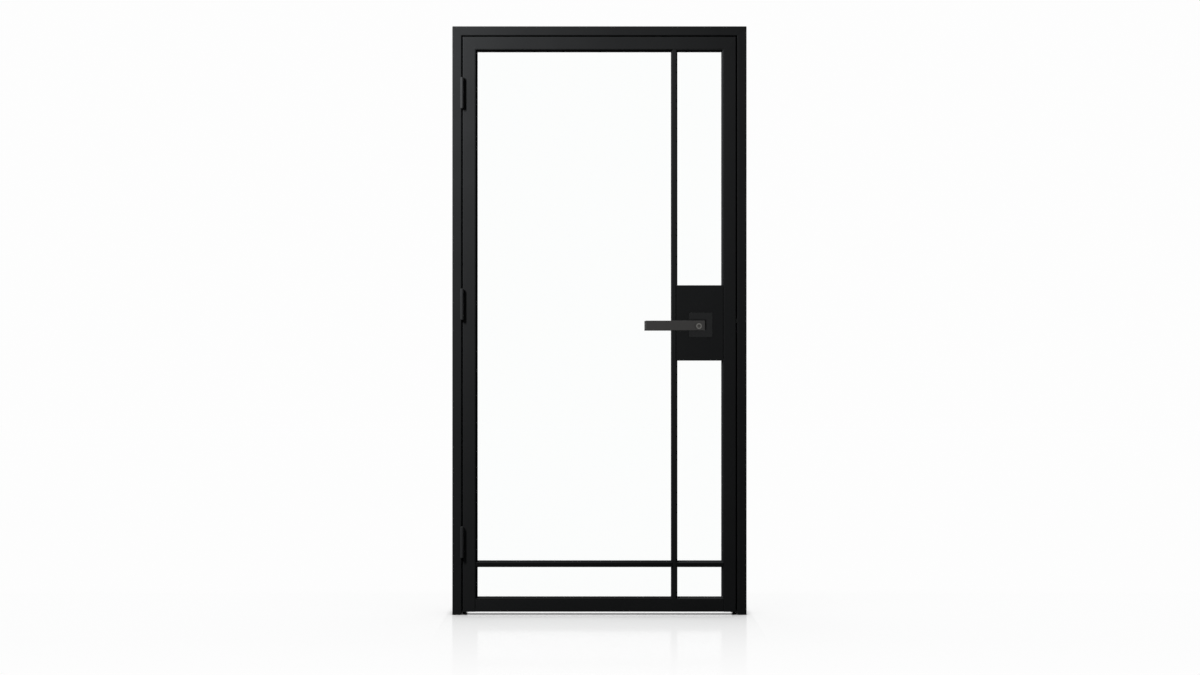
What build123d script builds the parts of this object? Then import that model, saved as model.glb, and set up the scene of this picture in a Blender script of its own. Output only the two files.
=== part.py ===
from build123d import *
import os

os.makedirs("parts", exist_ok=True)

# A glass door in a pressed steel frame, closed. Millimetres, +Z up, floor at Z = 0.
# The front looks towards -Y, the hinges are at -X, and Y = 0 is the middle of the leaf.

# Whole door set
set_width = 1050
set_height = 2100

# Clearances
overrun = 10  # how far a cut runs past the surface that it opens
turning_gap = 0.05  # radial play of a journal in its bearing
sliding_gap = 0.15  # play around a sliding piece
fitting_gap = 0.2  # play of a plate in its cut-out
free_gap = 0.3  # air between pieces that pass each other

# Frame: folded sheet, open towards the wall
frame_sheet = 2
frame_bend = 3
frame_face = 33
frame_lip = 12
stop_width = 14
stop_depth = 40
mitre_gap = 0.9  # hairline between a jamb and the head
fixing_radius = 4.5
fixing_from_end = 250
fixing_pair_spacing = 500
cleat_length = 66
cleat_inset = 6
cleat_margin = 5
cleat_thickness = 3
seal_space = 5  # between the leaf's rear face and the stop
seal_width = 8
seal_flat = 1
seal_inset = 1

# Leaf: square tube with flat bars
leaf_thickness = 45
leaf_gap = 4.5
leaf_undercut = 11
tube_face = 45
tube_wall = 2
tube_round = 3
bar_width = 10
bar_edge = 0.6
cross_bar_height = 180
cap_height = 14
cap_wall = 2

# Glazing
glass_thickness = 8
edge_cover = 2  # rubber between the pane's edge and the steel
gasket_lip = 3
gasket_setback = 0.6
bead_width = 6.4
bead_nose = 0.9

# Hinges: three barrels in front of the gap
bottom_hinge_height = 260
middle_hinge_rise = 47.5  # above the midpoint of the other two
top_hinge_drop = 201.5  # below the leaf's top
hinge_length = 112
knuckle_radius = 6.5
knuckle_bevel = 2
wing_thickness = 2.2
wing_depth = 30
wing_inset = 4
pin_radius = 4
pin_cover = 18  # of each knuckle beyond the pin
pin_end_space = 1
washer_thickness = 1
washer_play = 0.1

# Lock box between the upright bar and the latch stile, around the lever's height
lock_width = 170.2
lock_below = 123
lock_above = 146
lock_plate = 2
lock_plate_gap = 1.8  # shadow line beside each plate
lock_sheet = 2

# Levers and roses
backset = 136
handle_height = 1030
rose_width = 84.5
rose_height = 88.5
rose_corner = 4
rose_depth = 9
rose_wall = 1.5
rose_edge = 1.5
rose_shift_x = 9
rose_shift_z = 5
base_play = 1.5  # between the base plate and the cover
bolt_radius = 2.5
bolt_head_radius = 4.6
bolt_head_height = 3
bolt_land = 1.4  # between the bolt's head and the lever's journal
bolt_play = 0.25
lever_reach = 188.5
lever_heel = 21
lever_height = 35
lever_rise = 1.8  # of the bar's middle above the axis
lever_thickness = 14
lever_projection = 60
lever_end_bevel = 4.5
lever_end_drop = 2
lever_edge = 1.2
neck_radius = 11
neck_play = 0.4
journal_step = 2
spindle_size = 8
spindle_end_space = 7.5  # between the spindle and the key cylinder
spindle_hole_radius = 7

# Key cylinder in the front lever, turn button in the rear one
cylinder_radius = 10
cylinder_depth = 21
cylinder_proud = 1.5
cylinder_groove = 1  # shadow line in the lever around it
plug_radius = 6.5
keyway_width = 1.6
keyway_height = 9.6
keyway_depth = 14
keyway_eye_radius = 2
button_rim = 1.8
button_dish_depth = 7
button_bar = 3.4

# Latch: case, follower, sliding bolt and spring
case_wall = 1.5
case_play = 0.5  # beside the bolt
case_behind = 34
case_headroom = 1.8  # above the bolt
follower_room = 3  # below the follower
lug_height = 12
lug_thickness = 3
faceplate_width = 22
faceplate_thickness = 2
faceplate_margin = 15
screw_radius = 2
screw_head_radius = 4
screw_head_height = 1.6
screw_length = 8
follower_radius = 11.5
follower_journal = 8
arm_length = 17.5
arm_round = 3
arm_width = 6
yoke_clearance = 0.7
yoke_lead = 1  # idle space in front of the arm
yoke_follow = 2.5  # idle space behind the arm
yoke_cheek = 8
yoke_bridge = 5
tail_size = 6
bolt_height = 15
bolt_thickness = 14
bolt_throw = 11
bolt_body = 29
bolt_tip = 2.5
bridge_distance = 61.5  # from the leaf's edge to the spring's fixed end
spring_wire_radius = 0.6
spring_play = 0.75  # between the coil and the tail's corners
spring_turns = 7
spring_turn_points = 10
wire_sides = 6

# Strike in the latch jamb
strike_width = 28
strike_height = 90
strike_screw_margin = 10
strike_box_depth = 17
strike_box_wall = 1.5
strike_flange_margin = 4

# Places that follow from the sizes above
frame_front = -leaf_thickness / 2
stop_front = leaf_thickness / 2 + seal_space
frame_rear = stop_front + stop_depth
frame_edge = set_width / 2
rebate_edge = frame_edge - frame_face
stop_edge = rebate_edge - stop_width
leaf_edge = rebate_edge - leaf_gap
leaf_front = -leaf_thickness / 2
half_leaf = leaf_thickness / 2
leaf_bottom = leaf_undercut
leaf_top = set_height - frame_face - leaf_gap
stile_inner = leaf_edge - tube_face
rail_low = leaf_bottom + tube_face
rail_high = leaf_top - tube_face
bar_right = stile_inner - lock_width
bar_left = bar_right - bar_width
cross_low = cross_bar_height - bar_width / 2
cross_high = cross_bar_height + bar_width / 2
gasket_face = glass_thickness / 2 + gasket_lip
axis_x = leaf_edge - backset
axis_z = handle_height
lock_bottom = axis_z - lock_below
lock_top = axis_z + lock_above
lock_inside = leaf_thickness / 2 - lock_plate
journal_radius = neck_radius + journal_step
bolt_offset = journal_radius + bolt_head_radius + bolt_land
yoke_low = axis_z + follower_radius + yoke_clearance
yoke_high = axis_z + arm_length + arm_round + yoke_clearance + yoke_bridge
tail_z = (yoke_low + yoke_high) / 2
bolt_low = tail_z - bolt_height / 2
bolt_high = tail_z + bolt_height / 2
case_low = axis_z - follower_radius - follower_room - case_wall
case_high = bolt_high + case_headroom + case_wall
inner_half = bolt_thickness / 2 + case_play
case_half = inner_half + case_wall

pieces = {}


def block(x0, x1, y0, y1, z0, z1):
    """A rectangular block between two opposite corners."""
    middle = Pos((x0 + x1) / 2, (y0 + y1) / 2, (z0 + z1) / 2)
    return middle * Box(x1 - x0, y1 - y0, z1 - z0)


def rod(radius, start, end):
    """A round bar between two points."""
    along = Vector(*end) - Vector(*start)
    return extrude(Plane(origin=start, z_dir=along) * Circle(radius), along.length)


def outline(points, radii=0):
    """A flat face through the points, its corners rounded by the radii."""
    return make_face(FilletPolyline(*points, radius=radii, close=True))


def upright_plate(points, y0, y1):
    """A plate of the outline drawn in X and Z, from depth y0 to depth y1."""
    front = Plane(origin=(0, y0, 0), x_dir=(1, 0, 0), z_dir=(0, -1, 0))
    return extrude(front * outline(points), y0 - y1)


def rear_copy(piece):
    """The same piece on the other side of the leaf."""
    return mirror(piece, about=Plane.XZ)


def latch_side(piece):
    """The same piece at the opposite side of the opening."""
    return mirror(piece, about=Plane.YZ)


def countersunk_screw(head_centre, direction):
    """A flat-headed screw: its head's face at head_centre, its shank along direction."""
    half = outline([
        (0, 0),
        (screw_head_radius, 0),
        (screw_radius, screw_head_height),
        (screw_radius, screw_length),
        (0, screw_length),
    ])
    side = Plane(origin=(0, 0, 0), x_dir=(1, 0, 0), z_dir=(0, -1, 0))
    screw = revolve(side * half, axis=Axis.Z)
    return Plane(origin=head_centre, z_dir=direction).location * screw


def screw_seat(head_centre, direction):
    """The countersunk hole for such a screw, with running play."""
    half = outline([
        (0, 0),
        (screw_head_radius + turning_gap, 0),
        (screw_radius + turning_gap, screw_head_height),
        (screw_radius + turning_gap, screw_length + overrun),
        (0, screw_length + overrun),
    ])
    side = Plane(origin=(0, 0, 0), x_dir=(1, 0, 0), z_dir=(0, -1, 0))
    hole = revolve(side * half, axis=Axis.Z)
    return Plane(origin=head_centre, z_dir=direction).location * hole


# Frame jambs and head: one folded section, mitred at the head corners
def frame_section():
    """The folded sheet: u runs from the wall to the opening, v from front to rear."""
    u_stop = frame_face + stop_width
    sheet = frame_sheet
    outside = [
        (0, frame_front),
        (frame_face, frame_front),
        (frame_face, stop_front),
        (u_stop, stop_front),
        (u_stop, frame_rear),
        (0, frame_rear),
    ]
    inside = [
        (sheet, frame_front + sheet),
        (frame_face - sheet, frame_front + sheet),
        (frame_face - sheet, stop_front + sheet),
        (u_stop - sheet, stop_front + sheet),
        (u_stop - sheet, frame_rear - sheet),
        (sheet, frame_rear - sheet),
    ]
    wide, tight = frame_bend, frame_bend - sheet
    skin = outline(outside, [wide, wide, tight, wide, wide, wide])
    hollow = outline(inside, [tight, tight, wide, tight, tight, tight])
    mouth = outline([
        (-overrun, frame_front + frame_lip),
        (2 * sheet, frame_front + frame_lip),
        (2 * sheet, frame_rear - frame_lip),
        (-overrun, frame_rear - frame_lip),
    ])
    return skin - hollow - mouth


left_mitre = Plane(origin=(-frame_edge, 0, set_height), z_dir=(1, 0, 1))
right_mitre = Plane(origin=(frame_edge, 0, set_height), z_dir=(-1, 0, 1))
half_gap = mitre_gap / 2
jamb_stock = extrude(Plane(origin=(-frame_edge, 0, 0)) * frame_section(), set_height)
jamb = split(jamb_stock, bisect_by=left_mitre.offset(-half_gap), keep=Keep.BOTTOM)
fixing_y = stop_front + stop_depth / 2
fixing_heights = [
    fixing_from_end,
    set_height / 2 - fixing_pair_spacing / 2,
    set_height / 2 + fixing_pair_spacing / 2,
    set_height - fixing_from_end,
]
for height in fixing_heights:
    start = (-stop_edge - 2 * frame_sheet, fixing_y, height)
    jamb -= rod(fixing_radius, start, (-stop_edge + overrun, fixing_y, height))
pieces["hinge_jamb"] = jamb

head_plane = Plane(origin=(-frame_edge, 0, set_height), x_dir=(0, 0, -1), z_dir=(1, 0, 0))
head_stock = extrude(head_plane * frame_section(), set_width)
head = split(head_stock, bisect_by=left_mitre.offset(half_gap), keep=Keep.TOP)
pieces["head"] = split(head, bisect_by=right_mitre.offset(half_gap), keep=Keep.TOP)

# Corner cleats: flat angles behind the face, across each mitre
cleat_width = frame_face - frame_sheet - cleat_inset - cleat_margin
cleat_left = -frame_edge + cleat_inset
cleat_top = set_height - cleat_inset
cleat_y = frame_front + frame_sheet
cleat = upright_plate(
    [
        (cleat_left, cleat_top),
        (cleat_left, cleat_top - cleat_length),
        (cleat_left + cleat_width, cleat_top - cleat_length),
        (cleat_left + cleat_width, cleat_top - cleat_width),
        (cleat_left + cleat_length, cleat_top - cleat_width),
        (cleat_left + cleat_length, cleat_top),
    ],
    cleat_y,
    cleat_y + cleat_thickness,
)
pieces["corner_cleats"] = Compound([cleat.solid(), latch_side(cleat).solid()])

# Door seals: rubber strips on the stop, just short of the leaf's rear face
seal_stand = seal_space - free_gap
seal_round = (seal_width - seal_flat) / 2
seal_outer = stop_edge + seal_inset + seal_width
seal_inner = stop_edge + seal_inset
seal_top = set_height - frame_edge + seal_outer


def seal_section(u0, u1):
    """A strip with a rounded front, its flat back on the stop."""
    front = stop_front - seal_stand
    points = [(u0, stop_front), (u0, front), (u1, front), (u1, stop_front)]
    return outline(points, [0, seal_round, seal_round, 0])


jamb_seal = extrude(seal_section(-seal_outer, -seal_inner), seal_top)
pieces["hinge_jamb_seal"] = jamb_seal
pieces["latch_jamb_seal"] = latch_side(jamb_seal)
seal_plane = Plane(origin=(-seal_inner, 0, seal_top), x_dir=(0, 0, -1), z_dir=(1, 0, 0))
pieces["head_seal"] = extrude(seal_plane * seal_section(0, seal_width), 2 * seal_inner)

# Leaf stiles and rails: square tube, mitred above, the bottom rail butted between the stiles
tube_inner = tube_face - 2 * tube_wall
tube_section = RectangleRounded(tube_face, leaf_thickness, tube_round)
tube_section -= RectangleRounded(tube_inner, leaf_thickness - 2 * tube_wall, tube_round - tube_wall)
stile_centre = leaf_edge - tube_face / 2
leaf_mitre = Plane(origin=(-leaf_edge, 0, leaf_top), z_dir=(1, 0, 1))
leaf_mitre_right = Plane(origin=(leaf_edge, 0, leaf_top), z_dir=(-1, 0, 1))
stile_foot = Plane(origin=(-stile_centre, 0, leaf_bottom))
stile_stock = extrude(stile_foot * tube_section, leaf_top - leaf_bottom)
stile = split(stile_stock, bisect_by=leaf_mitre, keep=Keep.BOTTOM)
pieces["hinge_stile"] = stile


def rail(x0, x1, z_centre):
    """A length of the leaf's tube lying along X."""
    end = Plane(origin=(x0, 0, z_centre), x_dir=(0, 0, -1), z_dir=(1, 0, 0))
    return extrude(end * tube_section, x1 - x0)


top_rail = split(
    rail(-leaf_edge, leaf_edge, leaf_top - tube_face / 2), bisect_by=leaf_mitre, keep=Keep.TOP
)
pieces["top_rail"] = split(top_rail, bisect_by=leaf_mitre_right, keep=Keep.TOP)
pieces["bottom_rail"] = rail(-stile_inner, stile_inner, leaf_bottom + tube_face / 2)

# End caps: hollow plugs in the open feet of the stiles
cap_width = tube_inner - 2 * turning_gap
cap_depth = leaf_thickness - 2 * tube_wall - 2 * turning_gap
cap_corner = tube_round - tube_wall
cap = extrude(stile_foot * RectangleRounded(cap_width, cap_depth, cap_corner), cap_height)
cap -= block(
    -stile_centre - cap_width / 2 + cap_wall,
    -stile_centre + cap_width / 2 - cap_wall,
    -cap_depth / 2 + cap_wall,
    cap_depth / 2 - cap_wall,
    leaf_bottom + cap_wall,
    leaf_bottom + cap_height + overrun,
)
pieces["stile_end_caps"] = Compound([cap.solid(), latch_side(cap).solid()])

# Glazing bars: flat steel as deep as the leaf with eased edges, the upright one running through
upright_bar = block(bar_left, bar_right, -half_leaf, half_leaf, rail_low, rail_high)
pieces["upright_bar"] = chamfer(upright_bar.edges().filter_by(Axis.Z), bar_edge)
left_bar = block(-stile_inner, bar_left, -half_leaf, half_leaf, cross_low, cross_high)
pieces["left_cross_bar"] = chamfer(left_bar.edges().filter_by(Axis.X), bar_edge)
right_bar = block(bar_right, stile_inner, -half_leaf, half_leaf, cross_low, cross_high)
pieces["right_cross_bar"] = chamfer(right_bar.edges().filter_by(Axis.X), bar_edge)


# Glazing: panes in wrap-round rubber, held by mitred beads
def bead_strip(length, square_start=False, square_end=False):
    """One front bead along +X, its back on Z = 0, its bevel facing +Z and the front."""
    section = outline([
        (leaf_front, 0),
        (-gasket_face, 0),
        (-gasket_face, bead_width),
        (leaf_front, bead_nose),
    ])
    end = Plane(origin=(0, 0, 0), x_dir=(0, 1, 0), z_dir=(1, 0, 0))
    strip = extrude(end * section, length)
    start_cut = 0 if square_start else bead_width
    end_cut = 0 if square_end else bead_width
    mitred = upright_plate(
        [(0, 0), (length, 0), (length - end_cut, bead_width), (start_cut, bead_width)],
        leaf_front,
        -gasket_face,
    )
    return strip & mitred


def front_beads(x0, x1, z0, z1, plate_side):
    """The front beads around an opening. plate_side is where a lock plate takes a bead's place."""
    above, below = plate_side == "top", plate_side == "bottom"
    strips = [
        Pos(x1, 0, z0) * Rot(0, -90, 0) * bead_strip(z1 - z0, below, above),
        Pos(x0, 0, z1) * Rot(0, 90, 0) * bead_strip(z1 - z0, above, below),
    ]
    if not below:
        strips.append(Pos(x0, 0, z0) * bead_strip(x1 - x0))
    if not above:
        strips.append(Pos(x1, 0, z1) * Rot(0, 180, 0) * bead_strip(x1 - x0))
    return strips


# Openings as left, right, low, high and the side where a lock plate laps the pane
openings = {
    "main": (-stile_inner, bar_left, cross_high, rail_high, None),
    "upper_side": (bar_right, stile_inner, lock_top, rail_high, "bottom"),
    "lower_side": (bar_right, stile_inner, cross_high, lock_bottom, "top"),
    "bottom_main": (-stile_inner, bar_left, rail_low, cross_low, None),
    "bottom_side": (bar_right, stile_inner, rail_low, cross_low, None),
}
gaskets = []
for name, (x0, x1, z0, z1, plate_side) in openings.items():
    beads = front_beads(x0, x1, z0, z1, plate_side)
    beads += [rear_copy(bead) for bead in beads]
    pieces[name + "_beads"] = Compound([bead.solid() for bead in beads])
    low = z0 - bead_width if plate_side == "bottom" else z0
    high = z1 + bead_width if plate_side == "top" else z1
    pane = block(
        x0 + edge_cover,
        x1 - edge_cover,
        -glass_thickness / 2,
        glass_thickness / 2,
        low + edge_cover,
        high - edge_cover,
    )
    pieces[name + "_pane"] = pane
    sight = bead_width - gasket_setback
    ring = block(x0, x1, -gasket_face, gasket_face, low, high) - pane
    window = block(x0 + sight, x1 - sight, -overrun, overrun, low + sight, high - sight)
    gaskets.append((ring - window).solid())
pieces["glazing_gaskets"] = Compound(gaskets)

# Lock box: a ring of sheet, a plate on each face that laps the panes, and packers under the laps
box_low = lock_bottom + bead_width
box_high = lock_top - bead_width
case_slot = block(
    stile_inner - overrun,
    stile_inner + overrun,
    -case_half - free_gap,
    case_half + free_gap,
    case_low - free_gap,
    case_high + free_gap,
)
lock_box = block(bar_right, stile_inner, -lock_inside, lock_inside, box_low, box_high)
lock_box -= block(
    bar_right + lock_sheet,
    stile_inner - lock_sheet,
    -lock_inside - overrun,
    lock_inside + overrun,
    box_low + lock_sheet,
    box_high - lock_sheet,
)
pieces["lock_box"] = lock_box - case_slot
plate = block(
    bar_right + lock_plate_gap,
    stile_inner - lock_plate_gap,
    leaf_front,
    -lock_inside,
    lock_bottom,
    lock_top,
)
plate -= rod(spindle_hole_radius, (axis_x, 0, axis_z), (axis_x, leaf_front - overrun, axis_z))
for offset_x in (-bolt_offset, bolt_offset):
    start = (axis_x + offset_x, 0, axis_z)
    plate -= rod(bolt_radius + bolt_play, start, (axis_x + offset_x, leaf_front - overrun, axis_z))
pieces["lock_front_plate"] = plate
pieces["lock_rear_plate"] = rear_copy(plate)
packers = [
    block(bar_right, stile_inner, -lock_inside, -gasket_face, lock_bottom, box_low),
    block(bar_right, stile_inner, -lock_inside, -gasket_face, box_high, lock_top),
]
packers += [rear_copy(packer) for packer in packers]
pieces["lock_packers"] = Compound([packer.solid() for packer in packers])

# Hinges: weld-on barrels, the pin fixed in the lower knuckle, the leaf lifted on by the upper one
pin_x = -(rebate_edge + leaf_edge) / 2
pin_y = leaf_front - knuckle_radius
top_hinge_height = leaf_top - top_hinge_drop
middle_hinge_height = (bottom_hinge_height + top_hinge_height) / 2 + middle_hinge_rise
pins, washers = [], []


def knuckle(z_joint, z_end):
    """A barrel from the joint to its bevelled outer end, solid."""
    barrel = rod(knuckle_radius, (pin_x, pin_y, z_joint), (pin_x, pin_y, z_end))
    rim = barrel.edges().filter_by(GeomType.CIRCLE).sort_by(lambda edge: abs(edge.center().Z - z_joint))
    return chamfer(rim[-1], knuckle_bevel)


hinge_heights = {
    "bottom": bottom_hinge_height,
    "middle": middle_hinge_height,
    "top": top_hinge_height,
}
for place, height in hinge_heights.items():
    joint_low = height - washer_thickness / 2
    joint_high = height + washer_thickness / 2 + washer_play
    low_end = height - hinge_length / 2
    high_end = height + hinge_length / 2
    pin_low = low_end + pin_cover
    pin_high = high_end - pin_cover
    wing_rear = leaf_front + wing_depth
    lower = knuckle(joint_low, low_end)
    lower += block(
        -rebate_edge, -rebate_edge + wing_thickness, pin_y, wing_rear, low_end + wing_inset, joint_low
    )
    lower -= rod(pin_radius + turning_gap, (pin_x, pin_y, pin_low), (pin_x, pin_y, joint_low + overrun))
    pieces[place + "_hinge_frame_knuckle"] = lower
    upper = knuckle(joint_high, high_end)
    upper += block(
        -leaf_edge - wing_thickness, -leaf_edge, pin_y, wing_rear, joint_high, high_end - wing_inset
    )
    upper -= rod(
        pin_radius + turning_gap,
        (pin_x, pin_y, joint_high - overrun),
        (pin_x, pin_y, pin_high + pin_end_space),
    )
    pieces[place + "_hinge_leaf_knuckle"] = upper
    pins.append(rod(pin_radius, (pin_x, pin_y, pin_low), (pin_x, pin_y, pin_high)).solid())
    washer_top = joint_low + washer_thickness
    washer = rod(knuckle_radius, (pin_x, pin_y, joint_low), (pin_x, pin_y, washer_top))
    washer -= rod(pin_radius + turning_gap, (pin_x, pin_y, low_end), (pin_x, pin_y, high_end))
    washers.append(washer.solid())
pieces["hinge_pins"] = Compound(pins)
pieces["hinge_washers"] = Compound(washers)

# Roses: a base plate that carries the lever's journal, under a pressed square cover
rose_x = axis_x + rose_shift_x
rose_z = axis_z + rose_shift_z
rose_centre = Plane(origin=(rose_x, leaf_front, rose_z), x_dir=(1, 0, 0), z_dir=(0, -1, 0))
base_inset = rose_wall + base_play
base_outline = RectangleRounded(rose_width - 2 * base_inset, rose_height - 2 * base_inset, rose_corner)
base_thickness = rose_depth - base_inset
base = extrude(rose_centre * base_outline, base_thickness)
base -= rod(journal_radius + turning_gap, (axis_x, 0, axis_z), (axis_x, leaf_front - rose_depth, axis_z))
front_base = base
rear_base = rear_copy(base)
seat_y = half_leaf + base_thickness - bolt_head_height
bolts = []
for offset_x in (-bolt_offset, bolt_offset):
    x = axis_x + offset_x
    tip = (x, leaf_front - base_thickness, axis_z)
    seat = (x, seat_y, axis_z)
    crown = (x, seat_y + bolt_head_height, axis_z)
    front_base -= rod(bolt_radius + turning_gap, (x, 0, axis_z), (x, leaf_front - rose_depth, axis_z))
    rear_base -= rod(bolt_radius + bolt_play, (x, 0, axis_z), seat)
    rear_base -= rod(bolt_head_radius + bolt_play, seat, (x, half_leaf + rose_depth, axis_z))
    bolt = rod(bolt_radius, tip, seat) + rod(bolt_head_radius, seat, crown)
    bolts.append(bolt.solid())
pieces["front_rose_base"] = front_base
pieces["rear_rose_base"] = rear_base
pieces["rose_bolts"] = Compound(bolts)
cover = extrude(rose_centre * RectangleRounded(rose_width, rose_height, rose_corner), rose_depth)
cover_front = cover.faces().sort_by(Axis.Y)[0]
cover = chamfer(cover_front.edges(), rose_edge)
hollow_corner = rose_corner - rose_wall
hollow = RectangleRounded(rose_width - 2 * rose_wall, rose_height - 2 * rose_wall, hollow_corner)
cover -= extrude(rose_centre * hollow, rose_depth - rose_wall)
cover -= rod(neck_radius + neck_play, (axis_x, 0, axis_z), (axis_x, leaf_front - 2 * rose_depth, axis_z))
pieces["front_rose"] = cover
pieces["rear_rose"] = rear_copy(cover)

# Levers: a flat bar with bevelled ends on a round neck, with a square socket for the spindle
lever_front = leaf_front - lever_projection
lever_back = lever_front + lever_thickness
grip_plane = Plane(origin=(axis_x, 0, axis_z + lever_rise - lever_height / 2))
grip = extrude(
    grip_plane * outline([
        (-lever_reach, lever_back),
        (-lever_reach, lever_front + lever_end_drop),
        (-lever_reach + lever_end_bevel, lever_front),
        (lever_heel - lever_end_bevel, lever_front),
        (lever_heel, lever_front + lever_end_drop),
        (lever_heel, lever_back),
    ]),
    lever_height,
)
long_edges = grip.edges().filter_by(lambda edge: abs(edge.tangent_at(0).Z) < abs(edge.tangent_at(0).X))
grip = chamfer(long_edges, lever_edge)
journal_end = leaf_front - free_gap
journal_front = leaf_front - base_thickness
lever = grip + rod(neck_radius, (axis_x, lever_back, axis_z), (axis_x, journal_front, axis_z))
lever += rod(journal_radius, (axis_x, journal_front, axis_z), (axis_x, journal_end, axis_z))
cylinder_back = lever_front + cylinder_depth
cylinder_front = lever_front - cylinder_proud
spindle_end = -cylinder_back - spindle_end_space
socket_half = spindle_size / 2 + turning_gap
lever -= block(
    axis_x - socket_half,
    axis_x + socket_half,
    -spindle_end - turning_gap,
    0,
    axis_z - socket_half,
    axis_z + socket_half,
)
lever -= rod(
    cylinder_radius + turning_gap, (axis_x, cylinder_back, axis_z), (axis_x, cylinder_front, axis_z)
)
lever -= rod(
    cylinder_radius + cylinder_groove,
    (axis_x, lever_front + cylinder_groove, axis_z),
    (axis_x, cylinder_front, axis_z),
)
pieces["front_lever"] = lever
pieces["rear_lever"] = rear_copy(lever)
spindle_half = spindle_size / 2
pieces["spindle"] = block(
    axis_x - spindle_half,
    axis_x + spindle_half,
    -spindle_end,
    spindle_end,
    axis_z - spindle_half,
    axis_z + spindle_half,
)

# Key cylinder body and its turning plug with a keyway
body = rod(cylinder_radius, (axis_x, cylinder_back, axis_z), (axis_x, cylinder_front, axis_z))
body -= rod(
    plug_radius + turning_gap, (axis_x, cylinder_back + overrun, axis_z), (axis_x, cylinder_front, axis_z)
)
pieces["key_cylinder"] = body
plug = rod(plug_radius, (axis_x, cylinder_back - turning_gap, axis_z), (axis_x, cylinder_front, axis_z))
keyway_back = cylinder_front + keyway_depth
plug -= block(
    axis_x - keyway_width / 2,
    axis_x + keyway_width / 2,
    cylinder_front,
    keyway_back,
    axis_z - keyway_height / 2,
    axis_z + keyway_height / 2,
)
eye_z = axis_z + keyway_height / 2 - keyway_eye_radius
plug -= rod(keyway_eye_radius, (axis_x, cylinder_front, eye_z), (axis_x, keyway_back, eye_z))
pieces["key_plug"] = plug

# Turn button: a dished disc with a finger bar across it
button_back = -cylinder_back + turning_gap
button_front = -cylinder_front
dish_floor = button_front - button_dish_depth
button = rod(cylinder_radius, (axis_x, button_back, axis_z), (axis_x, button_front, axis_z))
dish_radius = cylinder_radius - button_rim
dish = rod(dish_radius, (axis_x, dish_floor, axis_z), (axis_x, button_front, axis_z))
finger_bar = block(
    axis_x - button_bar / 2,
    axis_x + button_bar / 2,
    dish_floor,
    button_front,
    axis_z - cylinder_radius,
    axis_z + cylinder_radius,
)
pieces["turn_button"] = button - (dish - finger_bar)

# Latch case: a folded tray with a bridge that guides the bolt's tail, and a flat cover
case_left = axis_x - case_behind
case_right = leaf_edge - faceplate_thickness
bridge_x = leaf_edge - bridge_distance
bolt_hole = block(
    case_right - overrun,
    leaf_edge + overrun,
    -bolt_thickness / 2 - sliding_gap,
    bolt_thickness / 2 + sliding_gap,
    bolt_low - sliding_gap,
    bolt_high + sliding_gap,
)
faceplate_low = case_low - faceplate_margin
faceplate_high = case_high + faceplate_margin
screw_heights = (
    (faceplate_low + case_low) / 2,
    (faceplate_high + case_high) / 2,
)
case = block(case_left, case_right, -inner_half, case_half, case_low, case_high)
case -= block(
    case_left + case_wall,
    case_right - case_wall,
    -case_half,
    inner_half,
    case_low + case_wall,
    case_high - case_wall,
)
tail_hole = block(
    bridge_x - overrun,
    bridge_x + overrun,
    -tail_size / 2 - sliding_gap,
    tail_size / 2 + sliding_gap,
    tail_z - tail_size / 2 - sliding_gap,
    tail_z + tail_size / 2 + sliding_gap,
)
bridge = block(bridge_x - case_wall, bridge_x, -inner_half, inner_half, case_low, case_high)
case += bridge - tail_hole
for low, high in ((case_low - lug_height, case_low), (case_high, case_high + lug_height)):
    case += block(case_right - lug_thickness, case_right, -inner_half, case_half, low, high)
case -= bolt_hole
cover_plate = block(case_left, case_right, -case_half, -inner_half, case_low, case_high)
case_past = case_half + overrun
journal_hole = rod(
    follower_journal + turning_gap, (axis_x, -case_past, axis_z), (axis_x, case_past, axis_z)
)
case -= journal_hole
cover_plate -= journal_hole
for offset_x in (-bolt_offset, bolt_offset):
    x = axis_x + offset_x
    bolt_way = rod(bolt_radius + bolt_play, (x, -case_past, axis_z), (x, case_past, axis_z))
    case -= bolt_way
    cover_plate -= bolt_way

# Faceplate on the leaf's edge, with its screws
faceplate = block(
    case_right,
    leaf_edge,
    -faceplate_width / 2,
    faceplate_width / 2,
    faceplate_low,
    faceplate_high,
)
faceplate -= bolt_hole
faceplate_screws = []
for height in screw_heights:
    head_centre = (leaf_edge, 0, height)
    seat = screw_seat(head_centre, (-1, 0, 0))
    faceplate -= seat
    case -= seat
    faceplate_screws.append(countersunk_screw(head_centre, (-1, 0, 0)).solid())
pieces["latch_case"] = case
pieces["latch_case_cover"] = cover_plate
pieces["latch_faceplate"] = faceplate
pieces["faceplate_screws"] = Compound(faceplate_screws)

# Latch stile: the hinge stile's twin, with a slot for the case and a cut-out for the faceplate
faceplate_cut = block(
    leaf_edge - 2 * tube_wall,
    leaf_edge + overrun,
    -faceplate_width / 2 - fitting_gap,
    faceplate_width / 2 + fitting_gap,
    faceplate_low - fitting_gap,
    faceplate_high + fitting_gap,
)
pieces["latch_stile"] = latch_side(stile) - case_slot - faceplate_cut

# Follower: a hub on the spindle whose arm draws the bolt's yoke back
hub_half = inner_half - free_gap
follower = rod(follower_radius, (axis_x, -hub_half, axis_z), (axis_x, hub_half, axis_z))
follower += rod(follower_journal, (axis_x, -case_half, axis_z), (axis_x, case_half, axis_z))
arm_half = arm_width / 2
arm = block(
    axis_x - arm_round, axis_x + arm_round, -arm_half, arm_half, axis_z, axis_z + arm_length
)
arm += rod(
    arm_round, (axis_x, -arm_half, axis_z + arm_length), (axis_x, arm_half, axis_z + arm_length)
)
follower += arm
follower -= block(
    axis_x - socket_half,
    axis_x + socket_half,
    -case_past,
    case_past,
    axis_z - socket_half,
    axis_z + socket_half,
)
pieces["follower"] = follower

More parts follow.
